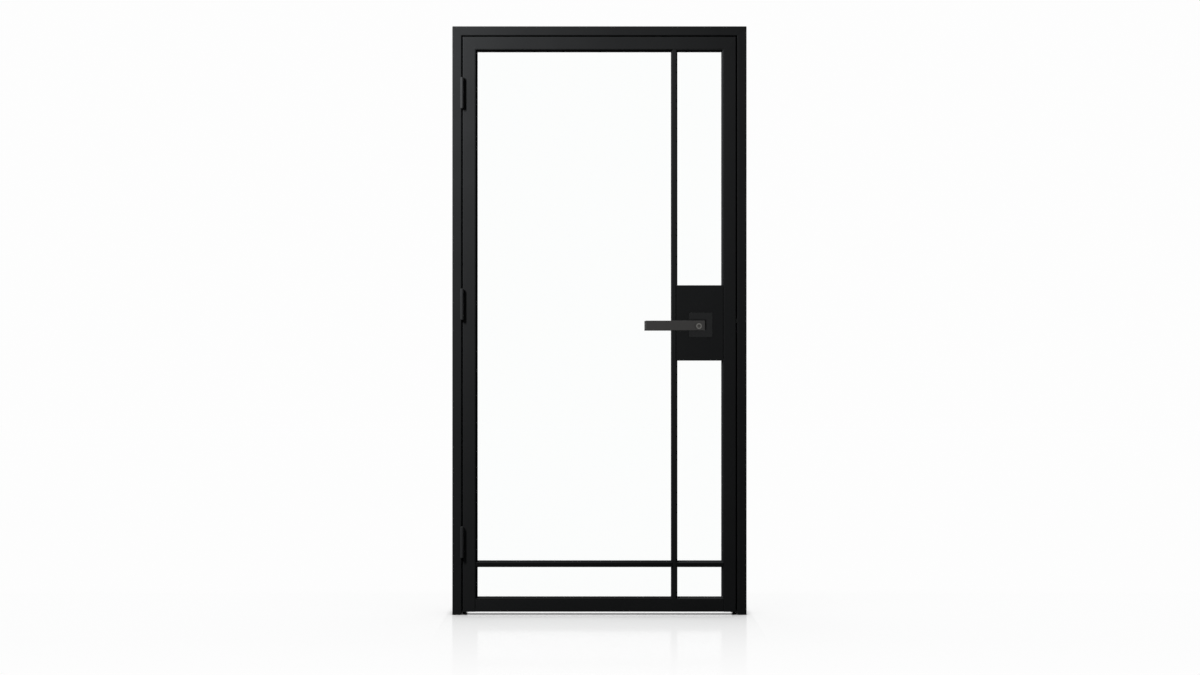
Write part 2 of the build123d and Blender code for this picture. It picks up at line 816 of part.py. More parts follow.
# Latch bolt: a bevelled head, a square tail through the bridge, and a notched yoke over the arm
bolt_back = leaf_edge - bolt_body
bolt_front = leaf_edge + bolt_throw
bolt_plan = outline([
    (bolt_back, -bolt_thickness / 2),
    (bolt_front, -bolt_thickness / 2),
    (bolt_front, -bolt_thickness / 2 + bolt_tip),
    (leaf_edge, bolt_thickness / 2),
    (bolt_back, bolt_thickness / 2),
])
bolt_foot = Plane(origin=(0, 0, bolt_low))
latch_bolt = extrude(bolt_foot * bolt_plan, bolt_height)
yoke_right = axis_x + arm_round + yoke_follow + yoke_cheek
yoke_left = axis_x - arm_round - yoke_lead - yoke_cheek
tail_half = tail_size / 2
latch_bolt += block(
    yoke_right, bolt_back, -tail_half, tail_half, tail_z - tail_half, tail_z + tail_half
)
yoke = block(yoke_left, yoke_right, -tail_half, tail_half, yoke_low, yoke_high)
yoke -= block(
    yoke_left + yoke_cheek,
    yoke_right - yoke_cheek,
    -tail_size,
    tail_size,
    yoke_low - overrun,
    yoke_high - yoke_bridge,
)
pieces["latch_bolt"] = latch_bolt + yoke

# Latch spring: a coil round the tail, between the bridge and the bolt's head
spring_start = bridge_x + spring_wire_radius + turning_gap
spring_end = bolt_back - spring_wire_radius - turning_gap
spring_radius = tail_size * 2 ** 0.5 / 2 + spring_play + spring_wire_radius
coil_steps = spring_turns * spring_turn_points
coil_points = []
for step in range(coil_steps + 1):
    x = spring_start + (spring_end - spring_start) * step / coil_steps
    around = Vector(0, spring_radius, 0).rotate(Axis.X, 360 * step / spring_turn_points)
    coil_points.append((x, around.Y, tail_z + around.Z))
coil = Polyline(*coil_points)
wire_end = Plane(origin=coil @ 0, z_dir=coil % 0)
wire = wire_end * RegularPolygon(spring_wire_radius, wire_sides)
pieces["latch_spring"] = sweep(wire, path=coil, transition=Transition.RIGHT)

# Strike: a plate flush in the latch jamb, screwed to the flange of a dust box behind it
strike_low = tail_z - strike_height / 2
strike_high = tail_z + strike_height / 2
strike_half = strike_width / 2
strike = block(
    rebate_edge, rebate_edge + frame_sheet, -strike_half, strike_half, strike_low, strike_high
)
strike_mouth = block(
    rebate_edge - overrun,
    rebate_edge + strike_box_depth - strike_box_wall,
    -bolt_thickness / 2 - free_gap,
    bolt_thickness / 2 + free_gap,
    bolt_low - free_gap,
    bolt_high + free_gap,
)
flange_front = rebate_edge + frame_sheet
dust_box = block(
    flange_front,
    flange_front + strike_box_wall,
    -strike_half - strike_flange_margin,
    strike_half + strike_flange_margin,
    strike_low - strike_flange_margin,
    strike_high + strike_flange_margin,
)
dust_box += block(
    flange_front,
    rebate_edge + strike_box_depth,
    -bolt_thickness / 2 - free_gap - strike_box_wall,
    bolt_thickness / 2 + free_gap + strike_box_wall,
    bolt_low - free_gap - strike_box_wall,
    bolt_high + free_gap + strike_box_wall,
)
dust_box -= strike_mouth
strike -= strike_mouth
strike_screws = []
for height in (strike_low + strike_screw_margin, strike_high - strike_screw_margin):
    head_centre = (rebate_edge, 0, height)
    seat = screw_seat(head_centre, (1, 0, 0))
    strike -= seat
    dust_box -= seat
    strike_screws.append(countersunk_screw(head_centre, (1, 0, 0)).solid())
pieces["strike_plate"] = strike
pieces["strike_box"] = dust_box
pieces["strike_screws"] = Compound(strike_screws)
strike_cut = block(
    rebate_edge - overrun,
    rebate_edge + 2 * frame_sheet,
    -strike_half - fitting_gap,
    strike_half + fitting_gap,
    strike_low - fitting_gap,
    strike_high + fitting_gap,
)
pieces["latch_jamb"] = latch_side(jamb) - strike_cut

for name, piece in pieces.items():
    piece.label = name
    export_step(piece, f"parts/{name}.step")
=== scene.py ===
import math

import bmesh
import bpy
from mathutils import Matrix, Vector


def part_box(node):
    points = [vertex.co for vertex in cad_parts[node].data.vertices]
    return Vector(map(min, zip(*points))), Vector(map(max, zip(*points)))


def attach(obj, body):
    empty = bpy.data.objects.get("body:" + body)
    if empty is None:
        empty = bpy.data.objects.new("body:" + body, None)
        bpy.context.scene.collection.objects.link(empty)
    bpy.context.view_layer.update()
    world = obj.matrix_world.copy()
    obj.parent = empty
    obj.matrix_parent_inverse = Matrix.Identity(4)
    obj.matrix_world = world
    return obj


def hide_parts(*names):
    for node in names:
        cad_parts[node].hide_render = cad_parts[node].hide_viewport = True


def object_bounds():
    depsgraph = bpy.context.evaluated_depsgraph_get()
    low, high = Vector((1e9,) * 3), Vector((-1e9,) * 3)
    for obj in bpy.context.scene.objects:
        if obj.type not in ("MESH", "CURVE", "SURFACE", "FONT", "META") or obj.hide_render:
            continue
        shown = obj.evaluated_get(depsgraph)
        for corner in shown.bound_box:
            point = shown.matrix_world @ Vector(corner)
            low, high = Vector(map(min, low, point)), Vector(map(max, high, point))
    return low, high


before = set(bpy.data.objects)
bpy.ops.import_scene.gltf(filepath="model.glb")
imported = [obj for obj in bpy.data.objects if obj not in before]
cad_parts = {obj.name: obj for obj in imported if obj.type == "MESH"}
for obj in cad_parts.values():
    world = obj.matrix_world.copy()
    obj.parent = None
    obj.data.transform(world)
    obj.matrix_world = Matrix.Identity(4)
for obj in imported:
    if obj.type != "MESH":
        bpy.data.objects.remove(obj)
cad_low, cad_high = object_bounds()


# Jambs and head: three lengths of 2 mm steel sheet folded to a rebate section, mitred at the head
# corners and screwed to the wall. They are sprayed with matt black powder, which is baked on and
# leaves a fine orange peel, smoother along the folds, where a painted highlight lightens the black.
MM = 0.001


def shade(tree, kind, inputs=None, **settings):
    """A shader node with its settings, each input given a value or the output that it follows."""
    made = tree.nodes.new("ShaderNode" + kind)
    for name, value in settings.items():
        setattr(made, name, value)
    for socket, value in (inputs or {}).items():
        if isinstance(value, bpy.types.NodeSocket):
            tree.links.new(value, made.inputs[socket])
        else:
            made.inputs[socket].default_value = value
    return made


def reckon(tree, operation, first, second=0.0, **settings):
    """The outcome of a sum of two numbers or outputs."""
    return shade(tree, "Math", {0: first, 1: second}, operation=operation, **settings).outputs[0]


def new_effect(name, inputs, outputs):
    """An empty node group with named number inputs and outputs, and the sockets inside it."""
    group = bpy.data.node_groups.new(name, "ShaderNodeTree")
    for socket, value in inputs.items():
        made = group.interface.new_socket(socket, in_out="INPUT", socket_type="NodeSocketFloat")
        made.default_value = value
    for socket in outputs:
        group.interface.new_socket(socket, in_out="OUTPUT", socket_type="NodeSocketFloat")
    entry = group.nodes.new("NodeGroupInput").outputs
    leave = group.nodes.new("NodeGroupOutput").inputs
    return group, entry, leave


def place_effect(tree, group, **values):
    """The node group in a material, with its own values."""
    made = tree.nodes.new("ShaderNodeGroup")
    made.node_tree = group
    for socket, value in values.items():
        made.inputs[socket.replace("_", " ")].default_value = value
    return made.outputs


# Sprayed skin: a fine peel for the bump and slow clouds where the coat lies thicker.
spray, spray_in, spray_out = new_effect(
    "sprayed_skin", {"Peel Size": 1.6 * MM, "Cloud Size": 160.0 * MM}, ("Peel", "Clouds"))
spray_place = shade(spray, "TexCoord").outputs["Object"]
peel_scale = reckon(spray, "DIVIDE", 1.0, spray_in["Peel Size"])
cloud_scale = reckon(spray, "DIVIDE", 1.0, spray_in["Cloud Size"])
peel = shade(spray, "TexNoise", {"Vector": spray_place, "Scale": peel_scale, "Detail": 2.0})
clouds = shade(spray, "TexNoise", {"Vector": spray_place, "Scale": cloud_scale, "Detail": 4.0})
spray.links.new(peel.outputs["Fac"], spray_out["Peel"])
spray.links.new(clouds.outputs["Fac"], spray_out["Clouds"])

# Edge highlight: a mask that is 1 along sharp and rounded edges, where the finishes get a smoother
# polish and a painted highlight in their colour.
edges, edges_in, edges_out = new_effect("edge_highlight_mask", {"Width": 1.5 * MM, "Gain": 3.0}, ("Edge",))
rounded = shade(edges, "Bevel", {"Radius": edges_in["Width"]}, samples=6).outputs["Normal"]
facing = shade(edges, "NewGeometry").outputs["Normal"]
alike = shade(edges, "VectorMath", {0: rounded, 1: facing}, operation="DOT_PRODUCT").outputs["Value"]
turned = reckon(edges, "SUBTRACT", 1.0, alike)
raised = reckon(edges, "MULTIPLY", turned, edges_in["Gain"], use_clamp=True)
edges.links.new(raised, edges_out["Edge"])


def new_material(name):
    """A node material, its tree and its Principled shader."""
    material = bpy.data.materials.new(name)
    material.use_nodes = True
    return material, material.node_tree, material.node_tree.nodes["Principled BSDF"]


def between(tree, share, low, high, start=0.0, end=1.0, **settings):
    """A number that runs from low to high while share runs from start to end."""
    span = {"Value": share, "From Min": start, "From Max": end, "To Min": low, "To Max": high}
    return shade(tree, "MapRange", span, **settings).outputs["Result"]


def mixed_colour(tree, share, first, second):
    """A colour that runs from first to second with share."""
    return shade(tree, "Mix", {0: share, 6: first, 7: second}, data_type="RGBA").outputs[2]


def grey(level, warmth=0.0):
    """A near-neutral colour, warm above 0 and cool below."""
    return (level * (1 + warmth), level, level * (1 - warmth), 1.0)


def sprayed_coat(name, level, sheen, roughness=0.55, edge=0.5, peel_size=0.9 * MM):
    """Matt black powder or paint on metal: clouds in its tone, a fine peel, smoother edges with a painted
    highlight.
    """
    coolness = -0.035
    thick_level = 0.86 * level
    even_level = 1.14 * level
    edge_highlight_level = 2.2 * level
    grain_low, grain_high = 0.76, 1.24
    peel_low, peel_high = 0.3, 0.7
    roughness_spread = 0.06
    edge_polish = -0.08
    edge_radius = 0.5 * MM
    peel_depth = 0.05 * MM
    material, tree, skin = new_material(name)
    sprayed = place_effect(tree, spray, Peel_Size=peel_size)
    highlit_edge = place_effect(tree, edges)["Edge"]
    cloudy = mixed_colour(tree, sprayed["Clouds"], grey(thick_level, coolness), grey(even_level, coolness))
    grain = between(tree, sprayed["Peel"], grain_low, grain_high, peel_low, peel_high)
    grainy = shade(tree, "VectorMath", {0: cloudy, "Scale": grain}, operation="SCALE").outputs["Vector"]
    # Painted highlight: the colour turns lighter along the edges, by the share given as edge.
    colour = mixed_colour(tree, between(tree, highlit_edge, 0.0, edge), grainy, grey(edge_highlight_level, coolness))
    rough = between(tree, sprayed["Clouds"], roughness - roughness_spread, roughness + roughness_spread)
    smoother = shade(tree, "Math", {0: highlit_edge, 1: edge_polish, 2: rough}, operation="MULTIPLY_ADD")
    soft = shade(tree, "Bevel", {"Radius": edge_radius}, samples=4).outputs["Normal"]
    bump = shade(tree, "Bump", {"Height": sprayed["Peel"], "Strength": 0.6, "Distance": peel_depth,
                                "Normal": soft})
    tree.links.new(colour, skin.inputs["Base Color"])
    tree.links.new(smoother.outputs[0], skin.inputs["Roughness"])
    tree.links.new(bump.outputs["Normal"], skin.inputs["Normal"])
    skin.inputs["Specular IOR Level"].default_value = sheen
    return material


def finish_nodes(material, *nodes):
    """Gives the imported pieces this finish."""
    for node in nodes:
        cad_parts[node].data.materials[0] = material


powder_coat = sprayed_coat("matt_black_powder_coat", level=0.0275, sheen=0.018)
finish_nodes(powder_coat, "hinge_jamb", "latch_jamb", "head")


# Corner cleats: flat angles cut from blackened steel sheet, inside the two head corners, where they
# pull the mitres together. The black oxide is dull and cloudy, with faint rolling lines.
drawing, drawing_in, drawing_out = new_effect(
    "drawn_lines", {"Across X": 2500.0, "Across Y": 2500.0, "Across Z": 2500.0}, ("Lines", "Clouds"))
drawn_place = shade(drawing, "TexCoord").outputs["Object"]
spread = shade(drawing, "CombineXYZ", {axis: drawing_in["Across " + axis] for axis in "XYZ"}).outputs[0]
stretched = shade(drawing, "VectorMath", {0: drawn_place, 1: spread}, operation="MULTIPLY")
lines = shade(drawing, "TexNoise", {"Vector": stretched.outputs["Vector"], "Scale": 1.0, "Detail": 3.0})
dull = shade(drawing, "TexNoise", {"Vector": drawn_place, "Scale": 60.0, "Detail": 3.0})
drawing.links.new(lines.outputs["Fac"], drawing_out["Lines"])
drawing.links.new(dull.outputs["Fac"], drawing_out["Clouds"])


def bare_metal(name, dark, light, roughness, **across):
    """Plated or bare metal with drawn lines, cloudy tone and polished edges, lightened by a painted
    highlight.
    """
    edge_width = 0.8 * MM
    edge_highlight_share = 0.4
    edge_polish = -0.1
    roughness_spread = 0.08
    line_depth = 0.02 * MM
    material, tree, skin = new_material(name)
    drawn = place_effect(tree, drawing, **across)
    highlit_edge = place_effect(tree, edges, Width=edge_width)["Edge"]
    cloudy = mixed_colour(tree, drawn["Clouds"], dark, light)
    # Painted highlight: the colour turns lighter along the edges.
    colour = mixed_colour(tree, between(tree, highlit_edge, 0.0, edge_highlight_share), cloudy, light)
    rough = between(tree, drawn["Lines"], roughness - roughness_spread, roughness + roughness_spread)
    smoother = shade(tree, "Math", {0: highlit_edge, 1: edge_polish, 2: rough}, operation="MULTIPLY_ADD")
    bump = shade(tree, "Bump", {"Height": drawn["Lines"], "Strength": 0.4, "Distance": line_depth})
    tree.links.new(colour, skin.inputs["Base Color"])
    tree.links.new(smoother.outputs[0], skin.inputs["Roughness"])
    tree.links.new(bump.outputs["Normal"], skin.inputs["Normal"])
    skin.inputs["Metallic"].default_value = 1.0
    return material


black_oxide = bare_metal("black_oxide_steel", grey(0.006), grey(0.014), roughness=0.5, Across_Z=90.0)
finish_nodes(black_oxide, "corner_cleats")


# Door seals: extruded black rubber strips with a rounded nose, pushed onto the stop of the jambs and
# the head. The closed leaf stops just short of them.
def black_rubber_compound(name, level, roughness):
    """Matt black rubber or plastic: a fine dusty grain over slow clouds of bloom."""
    grain_size = 0.5 * MM
    cloud_size = 50.0 * MM
    grain_depth = 0.04 * MM
    fresh_level = 0.7 * level
    bloomed_level = 1.4 * level
    roughness_spread = 0.08
    material, tree, skin = new_material(name)
    grain = place_effect(tree, spray, Peel_Size=grain_size, Cloud_Size=cloud_size)
    colour = mixed_colour(tree, grain["Clouds"], grey(fresh_level), grey(bloomed_level))
    rough = between(tree, grain["Clouds"], roughness - roughness_spread, roughness + roughness_spread)
    bump = shade(tree, "Bump", {"Height": grain["Peel"], "Strength": 0.5, "Distance": grain_depth})
    tree.links.new(colour, skin.inputs["Base Color"])
    tree.links.new(rough, skin.inputs["Roughness"])
    tree.links.new(bump.outputs["Normal"], skin.inputs["Normal"])
    skin.inputs["Specular IOR Level"].default_value = 0.12
    return material


seal_rubber = black_rubber_compound("black_seal_rubber", level=0.014, roughness=0.8)
finish_nodes(seal_rubber, "hinge_jamb_seal", "latch_jamb_seal", "head_seal")


# Mitre sealant: a thin bed of black sealant in each head mitre, just below the sheet's faces, which
# keeps daylight out of the joint.
FRAME_SHEET = 2.0 * MM
FRAME_FACE = 33.0 * MM
STOP_WIDTH = 14.0 * MM
STOP_DEPTH = 40.0 * MM
SEALANT_DEPTH = 1.3 * MM
SEALANT_THICKNESS = 0.8 * MM
SMOOTH_UP_TO = math.radians(30.0)


def loft(rings):
    """A closed mesh through rings of equal length, capped at both ends."""
    body = bmesh.new()
    loops = [[body.verts.new(point) for point in ring] for ring in rings]
    count = len(loops[0])
    for near, far in zip(loops, loops[1:]):
        for i in range(count):
            body.faces.new((near[i], near[(i + 1) % count], far[(i + 1) % count], far[i]))
    body.faces.new(reversed(loops[0]))
    body.faces.new(loops[-1])
    bmesh.ops.recalc_face_normals(body, faces=body.faces)
    return body


def joined(bodies):
    """Several meshes as one."""
    whole = bmesh.new()
    for body in bodies:
        part = bpy.data.meshes.new("part")
        body.to_mesh(part)
        body.free()
        whole.from_mesh(part)
        bpy.data.meshes.remove(part)
    return whole


def new_piece(name, body, material, ride_on):
    """Makes the mesh a piece that moves with a body and takes its finish from a slot."""
    mesh = bpy.data.meshes.new(name)
    body.to_mesh(mesh)
    body.free()
    piece = bpy.data.objects.new(name, mesh)
    bpy.context.scene.collection.objects.link(piece)
    mesh.materials.append(material)
    mesh.set_sharp_from_angle(angle=SMOOTH_UP_TO)
    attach(piece, ride_on)
    return piece


def mitre_bed(side):
    """The sealant in one head corner, which follows the middle of the folded sheet."""
    front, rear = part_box("head")[0].y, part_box("head")[1].y
    half_sheet = FRAME_SHEET / 2
    face = FRAME_FACE - half_sheet
    stop = FRAME_FACE + STOP_WIDTH - half_sheet
    step = rear - STOP_DEPTH + half_sheet
    route = [(FRAME_SHEET, front + half_sheet), (face, front + half_sheet), (face, step), (stop, step),
             (stop, rear - half_sheet), (FRAME_SHEET, rear - half_sheet)]
    outward = [(0, -1), (1, -1), (1, -1), (1, -1), (1, 1), (0, 1)]
    rings = []
    for (inset, depth), (lean_in, lean_back) in zip(route, outward):
        ring = []
        for reach, lift in ((1, 1), (1, -1), (-1, -1), (-1, 1)):
            from_edge = inset + reach * lean_in * SEALANT_DEPTH / 2
            across = lift * SEALANT_THICKNESS / 2 / math.sqrt(2)
            ring.append(Vector((side * (cad_high.x - from_edge - across),
                                depth + reach * lean_back * SEALANT_DEPTH / 2,
                                cad_high.z - from_edge + across)))
        rings.append(ring)
    return loft(rings)


new_piece("mitre_sealant", joined([mitre_bed(-1), mitre_bed(1)]), seal_rubber, "frame")


# Strike: a zinc-plated plate let into the latch jamb, with a dust box behind it that takes the bolt.
# Two countersunk socket screws hold the plate and the box's flange together.
RING_POINTS = 24
zinc_steel = bare_metal("dull_zinc_plate", grey(0.15, -0.02), grey(0.25, -0.02), roughness=0.45,
                        Across_Z=90.0)


def round_ring(radius, height):
    """Points of a circle about Z."""
    turns = [2 * math.pi * i / RING_POINTS for i in range(RING_POINTS)]
    return [Vector((radius * math.cos(t), radius * math.sin(t), height)) for t in turns]


def hexagon_ring(across_flats, height):
    """Points of a hexagon about Z, as many as a circle has."""
    ring = []
    for i in range(RING_POINTS):
        turn = 2 * math.pi * i / RING_POINTS
        from_flat = (turn + math.pi / 6) % (math.pi / 3) - math.pi / 6
        reach = across_flats / 2 / math.cos(from_flat)
        ring.append(Vector((reach * math.cos(turn), reach * math.sin(turn), height)))
    return ring


def socket_screw(head_radius, head_height, shank_radius, length, socket):
    """A countersunk screw, its head's face at Z = 0 and its shank along -Z, with a hexagon socket."""
    rim_radius = 0.98 * head_radius
    face_radius = 0.95 * head_radius
    rim_depth = 0.08 * head_height
    mouth = 1.06 * socket
    mouth_depth = 0.06 * head_height
    socket_depth = 0.75 * head_height
    drill_point = 0.2 * socket
    drill_depth = 0.95 * head_height
    return loft([
        round_ring(shank_radius, -length),
        round_ring(shank_radius, -head_height),
        round_ring(rim_radius, -rim_depth),
        round_ring(face_radius, 0.0),
        hexagon_ring(mouth, 0.0),
        hexagon_ring(socket, -mouth_depth),
        hexagon_ring(socket, -socket_depth),
        hexagon_ring(drill_point, -drill_depth),
    ])


def placed(body, centre, direction):
    """Turns a mesh's Z to the direction and moves it to the centre."""
    turn = Vector(direction).to_track_quat("Z", "Y").to_matrix().to_4x4()
    bmesh.ops.transform(body, matrix=Matrix.Translation(centre) @ turn, verts=body.verts)
    return body


def replace_plate_screws(node, direction, ride_on):
    """Socket screws in the place of a pair of plain ones that lie above each other."""
    low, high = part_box(node)
    radius = (high.y - low.y) / 2
    face_x = high.x if direction[0] > 0 else low.x
    sizes = dict(head_radius=radius, head_height=0.4 * radius, shank_radius=0.5 * radius,
                 length=high.x - low.x, socket=0.62 * radius)
    pair = [placed(socket_screw(**sizes), Vector((face_x, 0.0, z)), direction)
            for z in (low.z + radius, high.z - radius)]
    screws = new_piece(node + "_socketed", joined(pair), zinc_steel, ride_on)
    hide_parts(node)


finish_nodes(zinc_steel, "strike_plate", "strike_box")
replace_plate_screws("strike_screws", (-1, 0, 0), "frame")


# Hinges: turned steel barrels welded by their wings to the jamb and the stile, powder coated with them,
# the barrels' black painted lighter as a painted highlight. A ground steel pin stands in each lower
# barrel, and a black plastic washer carries the leaf.
HINGES = ("bottom", "middle", "top")
knuckles = [place + "_hinge_" + half + "_knuckle" for place in HINGES for half in ("frame", "leaf")]
# Painted highlight: the barrels take a lighter copy of the black coat.
lighter_barrel_coat = sprayed_coat("barrel_coat_painted_lighter", level=0.034, sheen=0.08, roughness=0.48)
finish_nodes(lighter_barrel_coat, *knuckles)
ground_steel = bare_metal("ground_steel", grey(0.28), grey(0.42), roughness=0.25, Across_Z=400.0)
finish_nodes(ground_steel, "hinge_pins")
bearing_plastic = black_rubber_compound("black_bearing_plastic", level=0.012, roughness=0.5)
finish_nodes(bearing_plastic, "hinge_washers")


# Leaf: square steel tube, mitred and welded above, the bottom rail butted between the stiles, ground
# flush and powder coated. Black plastic caps close the stiles' feet.
leaf_coat = sprayed_coat("leaf_powder_coat", level=0.0295, sheen=0.018)
finish_nodes(leaf_coat, "hinge_stile", "latch_stile", "top_rail", "bottom_rail")
cap_plastic = black_rubber_compound("black_cap_plastic", level=0.02, roughness=0.6)
finish_nodes(cap_plastic, "stile_end_caps")


# Glazing bars: flat steel bars as deep as the leaf with eased edges, welded between the tubes and
# coated in the same black, the cross bars painted a shade darker as painted shade. The upright one
# carries the lock box.
upright_coat = sprayed_coat("upright_powder_coat", level=0.031, sheen=0.018, edge=0.1)
finish_nodes(upright_coat, "upright_bar")
# Painted shade: the cross bars take a darker copy of the black coat.
shaded_cross_bar_coat = sprayed_coat("cross_bar_coat_painted_darker", level=0.016, sheen=0.018, edge=0.0)
finish_nodes(shaded_cross_bar_coat, "left_cross_bar", "right_cross_bar")


# Panes: clear 8 mm toughened float glass with a faint green cast, in a wrap-round rubber gasket.
# The surfaces are polished, with the slow waves that toughening leaves.
OPENINGS = ("main", "upper_side", "lower_side", "bottom_main", "bottom_side")
panes = [opening + "_pane" for opening in OPENINGS]


def float_glass(name):
    """Clear glass that lets lamps through, with faint waves and a trace of haze."""
    wave_size = 90.0 * MM
    wave_depth = 0.1 * MM
    cloud_size = 400.0 * MM
    greener, paler = (0.985, 0.995, 0.99, 1.0), (0.99, 0.998, 0.995, 1.0)
    lamp_tint = (0.97, 0.985, 0.98, 1.0)
    haze = 0.006
    material, tree, skin = new_material(name)
    waves = place_effect(tree, spray, Peel_Size=wave_size, Cloud_Size=cloud_size)
    bump = shade(tree, "Bump", {"Height": waves["Peel"], "Strength": 0.05, "Distance": wave_depth})
    tree.links.new(mixed_colour(tree, waves["Clouds"], greener, paler), skin.inputs["Base Color"])
    tree.links.new(between(tree, waves["Clouds"], 0.0, haze), skin.inputs["Roughness"])
    tree.links.new(bump.outputs["Normal"], skin.inputs["Normal"])
    skin.inputs["IOR"].default_value = 1.5
    skin.inputs["Transmission Weight"].default_value = 1.0
    clear = shade(tree, "BsdfTransparent", {"Color": lamp_tint})
    lamp_ray = shade(tree, "LightPath").outputs["Is Shadow Ray"]
    either = shade(tree, "MixShader", {0: lamp_ray, 1: skin.outputs[0], 2: clear.outputs[0]})
    tree.links.new(either.outputs[0], tree.nodes["Material Output"].inputs["Surface"])
    return material


clear_glass = float_glass("clear_float_glass")
finish_nodes(clear_glass, *panes)
gasket_rubber = black_rubber_compound("black_glazing_rubber", level=0.01, roughness=0.85)
finish_nodes(gasket_rubber, "glazing_gaskets")


# Glazing beads: bevelled steel strips, mitred at the corners and coated in a deeper matt black, those
# round the narrow panes painted lighter as a painted highlight on their bevels. The front ones are
# welded on, the rear ones held by small black countersunk socket screws.
BEAD_WIDTH = 6.4 * MM
BEAD_NOSE = 0.9 * MM
BEAD_SCREW = dict(head_radius=2.6 * MM, head_height=1.2 * MM, shank_radius=1.3 * MM, length=4.0 * MM,
                  socket=2.0 * MM)
SCREW_SPACING = 300.0 * MM
SCREW_FROM_CORNER = 60.0 * MM
beads = [opening + "_beads" for opening in OPENINGS]
bead_coat = sprayed_coat("bead_powder_coat", level=0.026, sheen=0.0, roughness=0.7)
finish_nodes(bead_coat, *beads)
# Painted highlight: the beads round the narrow panes take a lighter copy of the bead coat.
highlit_side_bead_coat = sprayed_coat("side_bead_coat_painted_light", level=0.05, sheen=0.0, roughness=0.7)
finish_nodes(highlit_side_bead_coat, "upper_side_beads", "lower_side_beads", "bottom_side_beads")
black_zinc = bare_metal("black_zinc_screws", grey(0.02), grey(0.05), roughness=0.4)
glass_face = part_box("glazing_gaskets")[1].y


def along(start, end):
    """Places for screws between two corners, at an even spacing."""
    usable = end - start - 2 * SCREW_FROM_CORNER
    count = max(1, round(usable / SCREW_SPACING))
    return [start + SCREW_FROM_CORNER + usable * i / count for i in range(count + 1)]


bead_screws = []
for opening in OPENINGS:
    low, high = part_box(opening + "_beads")
    glass_low, glass_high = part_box(opening + "_pane")
    lean = math.atan2(BEAD_WIDTH - BEAD_NOSE, high.y - glass_face)
    reach = (BEAD_WIDTH + BEAD_NOSE) / 2
    middle_y = (high.y + glass_face) / 2
    sides = [(Vector((1, 0, 0)), low.x, "z"), (Vector((-1, 0, 0)), high.x, "z")]
    if glass_low.z > low.z:
        sides.append((Vector((0, 0, 1)), low.z, "x"))
    if glass_high.z < high.z:
        sides.append((Vector((0, 0, -1)), high.z, "x"))
    for inward, edge, runs in sides:
        direction = inward * math.cos(lean) + Vector((0, math.sin(lean), 0))
        span = along(low.z, high.z) if runs == "z" else along(low.x, high.x)
        for place in span:
            if runs == "z":
                centre = Vector((edge + inward.x * reach, middle_y, place))
            else:
                centre = Vector((place, middle_y, edge + inward.z * reach))
            bead_screws.append(placed(socket_screw(**BEAD_SCREW), centre, direction))
new_piece("rear_bead_screws", joined(bead_screws), black_zinc, "leaf")


# Lock box: a folded ring of sheet between the upright bar and the latch stile, closed by a flush
# steel plate on each face and coated with the leaf, the ring in a darker copy as painted shade in the
# gaps beside the plates. Plastic packers fill the laps over the panes.
plate_coat = sprayed_coat("plate_powder_coat", level=0.0265, sheen=0.02, edge=0.0)
finish_nodes(plate_coat, "lock_front_plate", "lock_rear_plate")
# Painted shade: the ring, seen only in the gaps beside the plates, takes a darker copy of the coat.
shaded_box_coat = sprayed_coat("box_coat_painted_darker", level=0.012, sheen=0.0, edge=0.0)
finish_nodes(shaded_box_coat, "lock_box")
finish_nodes(cap_plastic, "lock_packers")


# Latch: a zinc-plated case with its cover and follower, a ground square spindle and spring, behind a
# plated faceplate with two socket screws. The bevelled bolt is blackened steel.
finish_nodes(zinc_steel, "latch_case", "latch_case_cover", "latch_faceplate", "follower", "rose_bolts")
finish_nodes(ground_steel, "spindle", "latch_spring")
replace_plate_screws("faceplate_screws", (1, 0, 0), "leaf")
black_bolt = bare_metal("blackened_bolt", grey(0.012), grey(0.024), roughness=0.35, Across_X=60.0)
finish_nodes(black_bolt, "latch_bolt")


# Roses: square covers pressed from sheet, sprayed satin black, that snap over plated base plates
# bolted through the lock box.
rose_paint = sprayed_coat("satin_black_rose", level=0.034, sheen=0.06, roughness=0.42, edge=0.4,
                          peel_size=0.8 * MM)
finish_nodes(rose_paint, "front_rose", "rear_rose")
finish_nodes(zinc_steel, "front_rose_base", "rear_rose_base")


# Levers: flat cast bars with bevelled ends on round necks, ground along their length and finished
# in satin graphite black. A grub screw under each neck clamps it to the spindle.
NECK_RADIUS = 11.0 * MM
GRUB_FROM_MIDDLE = 44.0 * MM
GRUB_SCREW = dict(head_radius=2.4 * MM, head_height=1.5 * MM, shank_radius=2.35 * MM, length=3.0 * MM,
                  socket=2.4 * MM)


def ground_lever(name):
    """Satin graphite black over lengthwise grinding lines, with a painted highlight along the edges."""
    warmth = 0.02
    groove, ridge, edge_highlight_grey = grey(0.082, warmth), grey(0.111, warmth), grey(0.15, warmth)
    edge_width = 1.2 * MM
    lever_edge_highlight = 0.2
    smooth, rough = 0.34, 0.46
    line_depth = 0.02 * MM
    material, tree, skin = new_material(name)
    drawn = place_effect(tree, drawing, Across_X=70.0, Across_Y=3200.0, Across_Z=3200.0)
    highlit_edge = place_effect(tree, edges, Width=edge_width)["Edge"]
    lined = mixed_colour(tree, drawn["Lines"], groove, ridge)
    # Painted highlight: the colour turns paler along the edges.
    colour = mixed_colour(tree, between(tree, highlit_edge, 0.0, lever_edge_highlight), lined, edge_highlight_grey)
    bump = shade(tree, "Bump", {"Height": drawn["Lines"], "Strength": 0.35, "Distance": line_depth})
    tree.links.new(colour, skin.inputs["Base Color"])
    tree.links.new(between(tree, drawn["Clouds"], smooth, rough), skin.inputs["Roughness"])
    tree.links.new(bump.outputs["Normal"], skin.inputs["Normal"])
    skin.inputs["Specular IOR Level"].default_value = 0.04
    return material


